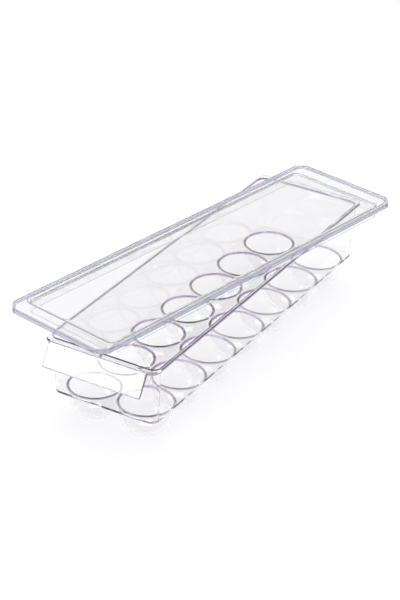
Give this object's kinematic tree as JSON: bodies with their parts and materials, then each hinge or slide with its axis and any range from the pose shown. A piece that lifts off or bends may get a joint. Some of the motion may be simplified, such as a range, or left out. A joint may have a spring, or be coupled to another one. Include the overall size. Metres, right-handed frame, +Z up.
{
  "type": "egg holder tray",
  "caption": "Long clear bin that holds eggs upright in round cups in two rows, with a front handle and a loose lid.",
  "frame": {"origin": "centre of the whole object's bounding box in plan, on the surface that the cups stand on", "axes": "+Z up, +Y from the front handle to the back along the rows, +X to the right seen from the handle"},
  "size_m": [0.1754, 0.3818, 0.0915],
  "materials": {
    "clear_tray": "polished clear moulded plastic",
    "clear_lid": "polished clear moulded plastic"
  },
  "bodies": {
    "tray": {"tray_walls": "clear_tray", "front_handle": "clear_tray", "egg_cup_left_1": "clear_tray", "egg_cup_left_2": "clear_tray", "egg_cup_left_3": "clear_tray", "egg_cup_left_4": "clear_tray", "egg_cup_left_5": "clear_tray", "egg_cup_left_6": "clear_tray", "egg_cup_left_7": "clear_tray", "egg_cup_right_1": "clear_tray", "egg_cup_right_2": "clear_tray", "egg_cup_right_3": "clear_tray", "egg_cup_right_4": "clear_tray", "egg_cup_right_5": "clear_tray", "egg_cup_right_6": "clear_tray", "egg_cup_right_7": "clear_tray"},
    "lid": {"lid": "clear_lid"}
  },
  "joints": [
    {"name": "lid_lift", "type": "slide", "parent": "tray", "child": "lid", "axis": [0, 0, 1], "range_m": [0, 0.1]}
  ]
}
